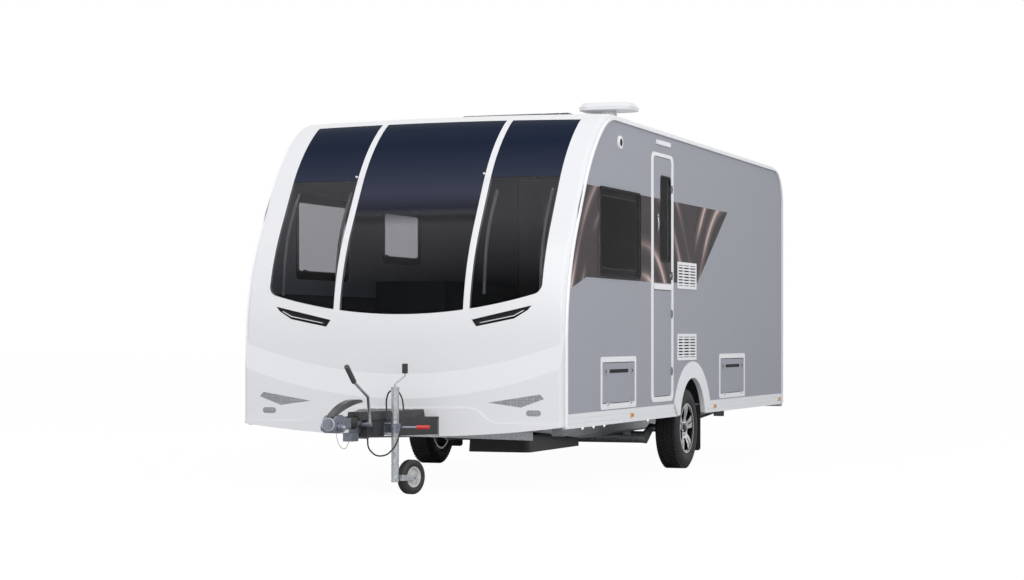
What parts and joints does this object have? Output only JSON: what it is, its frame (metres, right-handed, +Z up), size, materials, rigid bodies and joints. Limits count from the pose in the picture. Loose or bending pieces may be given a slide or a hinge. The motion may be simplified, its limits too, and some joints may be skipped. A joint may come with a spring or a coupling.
{
  "type": "travel caravan",
  "caption": "Touring caravan with a sandwich-panel body, glazed front, two-part entrance door, galvanised chassis on one axle and an overrun hitch with jockey wheel.",
  "frame": {"origin": "centre of the overall box, on the ground plane the wheels stand on", "axes": "+Z up, +Y from the hitch to the tail, +X to the entrance door's side (the caravan's left)"},
  "size_m": [2.288, 7.01, 2.648],
  "materials": {
    "gelcoat_white": "gloss",
    "panel_grey": "satin",
    "trim_white": "satin",
    "skirt_silver": "satin",
    "dark_glazing": "gloss",
    "galvanised_steel": "galvanised",
    "coupling_paint": "satin",
    "black_plastic": "matte",
    "rubber_black": "matte",
    "cable_steel": "wire",
    "tyre_black": "matte",
    "alloy": "satin",
    "hub_plastic": "satin",
    "lamp_clear": "gloss",
    "lamp_red": "gloss",
    "lamp_amber": "gloss",
    "solar_cells": "gloss",
    "plywood": "matte",
    "cabin_wood": "satin"
  },
  "bodies": {
    "caravan_body": {"front_lower": "gelcoat_white", "front_upper": "gelcoat_white", "rear_panel": "gelcoat_white", "roof_panel": "gelcoat_white", "roof_aerial": "gelcoat_white", "side_wall_left": "panel_grey", "side_wall_right": "panel_grey", "edge_rails": "trim_white", "door_frame": "trim_white", "locker_frames": "trim_white", "wall_vents": "trim_white", "rooflight_kerbs": "trim_white", "arch_trims": "trim_white", "skirts": "skirt_silver", "windows_front": "dark_glazing", "windows_side": "dark_glazing", "chassis_frame": "galvanised_steel", "drawbar_rails": "galvanised_steel", "axle": "galvanised_steel", "jockey_stand": "galvanised_steel", "coupling_head": "coupling_paint", "overrun_unit": "coupling_paint", "hitch_levers": "coupling_paint", "jockey_clamp": "coupling_paint", "drawbar_cover": "black_plastic", "underslung_box": "black_plastic", "wheel_boxes": "black_plastic", "front_grips": "black_plastic", "coupling_gaiter": "rubber_black", "supply_cable": "rubber_black", "breakaway_cable": "cable_steel", "front_lamps": "lamp_clear", "awning_light": "lamp_clear", "tail_lamps": "lamp_red", "side_markers": "lamp_amber", "solar_panel": "solar_cells", "floor": "plywood", "interior_fittings": "cabin_wood"},
    "door_upper": {"door_upper": "panel_grey", "door_window": "dark_glazing"},
    "door_lower": {"door_lower": "panel_grey"},
    "locker_front_left": {"locker_front_left": "panel_grey"},
    "locker_front_right": {"locker_front_right": "panel_grey"},
    "locker_rear_left": {"locker_rear_left": "panel_grey"},
    "locker_rear_right": {"locker_rear_right": "panel_grey"},
    "rooflight_main": {"rooflight_main": "dark_glazing"},
    "rooflight_rear": {"rooflight_rear": "dark_glazing"},
    "wheel_left": {"tyre_left": "tyre_black", "rim_left": "alloy"},
    "wheel_right": {"tyre_right": "tyre_black", "rim_right": "alloy"},
    "jockey_leg": {"jockey_leg": "galvanised_steel"},
    "jockey_fork": {"jockey_fork": "galvanised_steel"},
    "jockey_wheel": {"jockey_tyre": "rubber_black", "jockey_hub": "hub_plastic"},
    "steady_front_left": {"steady_front_left": "galvanised_steel"},
    "steady_front_right": {"steady_front_right": "galvanised_steel"},
    "steady_rear_left": {"steady_rear_left": "galvanised_steel"},
    "steady_rear_right": {"steady_rear_right": "galvanised_steel"}
  },
  "joints": [
    {"name": "door_upper_hinge", "type": "hinge", "parent": "caravan_body", "child": "door_upper", "pos_m": [1.139, 0.007, 1.8], "axis": [0, 0, 1], "range_deg": [0, 165]},
    {"name": "door_lower_hinge", "type": "hinge", "parent": "caravan_body", "child": "door_lower", "pos_m": [1.139, 0.007, 0.95], "axis": [0, 0, 1], "range_deg": [0, 165]},
    {"name": "locker_front_left_hinge", "type": "hinge", "parent": "caravan_body", "child": "locker_front_left", "pos_m": [1.139, -1.257, 0.548], "axis": [0, 1, 0], "range_deg": [0, 100]},
    {"name": "locker_rear_left_hinge", "type": "hinge", "parent": "caravan_body", "child": "locker_rear_left", "pos_m": [1.139, 1.749, 0.548], "axis": [0, 1, 0], "range_deg": [0, 100]},
    {"name": "locker_front_right_hinge", "type": "hinge", "parent": "caravan_body", "child": "locker_front_right", "pos_m": [-1.139, -1.257, 0.548], "axis": [0, -1, 0], "range_deg": [0, 100]},
    {"name": "locker_rear_right_hinge", "type": "hinge", "parent": "caravan_body", "child": "locker_rear_right", "pos_m": [-1.139, 1.749, 0.548], "axis": [0, -1, 0], "range_deg": [0, 100]},
    {"name": "rooflight_main_hinge", "type": "hinge", "parent": "caravan_body", "child": "rooflight_main", "pos_m": [-0.06, 0.474, 2.546], "axis": [1, 0, 0], "range_deg": [0, 50]},
    {"name": "rooflight_rear_hinge", "type": "hinge", "parent": "caravan_body", "child": "rooflight_rear", "pos_m": [0.25, 2.374, 2.546], "axis": [1, 0, 0], "range_deg": [0, 50]},
    {"name": "wheel_left_spin", "type": "hinge", "parent": "caravan_body", "child": "wheel_left", "pos_m": [1.0075, 0.568, 0.305], "axis": [1, 0, 0], "continuous": true},
    {"name": "wheel_right_spin", "type": "hinge", "parent": "caravan_body", "child": "wheel_right", "pos_m": [-1.0075, 0.568, 0.305], "axis": [1, 0, 0], "continuous": true},
    {"name": "jockey_leg_slide", "type": "slide", "parent": "caravan_body", "child": "jockey_leg", "axis": [0, 0, -1], "range_m": [0, 0.16]},
    {"name": "jockey_swivel", "type": "hinge", "parent": "jockey_leg", "child": "jockey_fork", "pos_m": [0.17, -2.877, 0.15], "axis": [0, 0, 1], "continuous": true},
    {"name": "jockey_wheel_spin", "type": "hinge", "parent": "jockey_fork", "child": "jockey_wheel", "pos_m": [0.21823, -2.73286, 0.11], "axis": [0.9483, -0.3173, 0], "continuous": true},
    {"name": "steady_front_left_hinge", "type": "hinge", "parent": "caravan_body", "child": "steady_front_left", "pos_m": [0.75, -0.882, 0.44], "axis": [1, 0, 0], "range_deg": [0, 40]},
    {"name": "steady_front_right_hinge", "type": "hinge", "parent": "caravan_body", "child": "steady_front_right", "pos_m": [-0.75, -0.882, 0.44], "axis": [1, 0, 0], "range_deg": [0, 40]},
    {"name": "steady_rear_left_hinge", "type": "hinge", "parent": "caravan_body", "child": "steady_rear_left", "pos_m": [0.75, 2.198, 0.44], "axis": [-1, 0, 0], "range_deg": [0, 40]},
    {"name": "steady_rear_right_hinge", "type": "hinge", "parent": "caravan_body", "child": "steady_rear_right", "pos_m": [-0.75, 2.198, 0.44], "axis": [-1, 0, 0], "range_deg": [0, 40]}
  ]
}
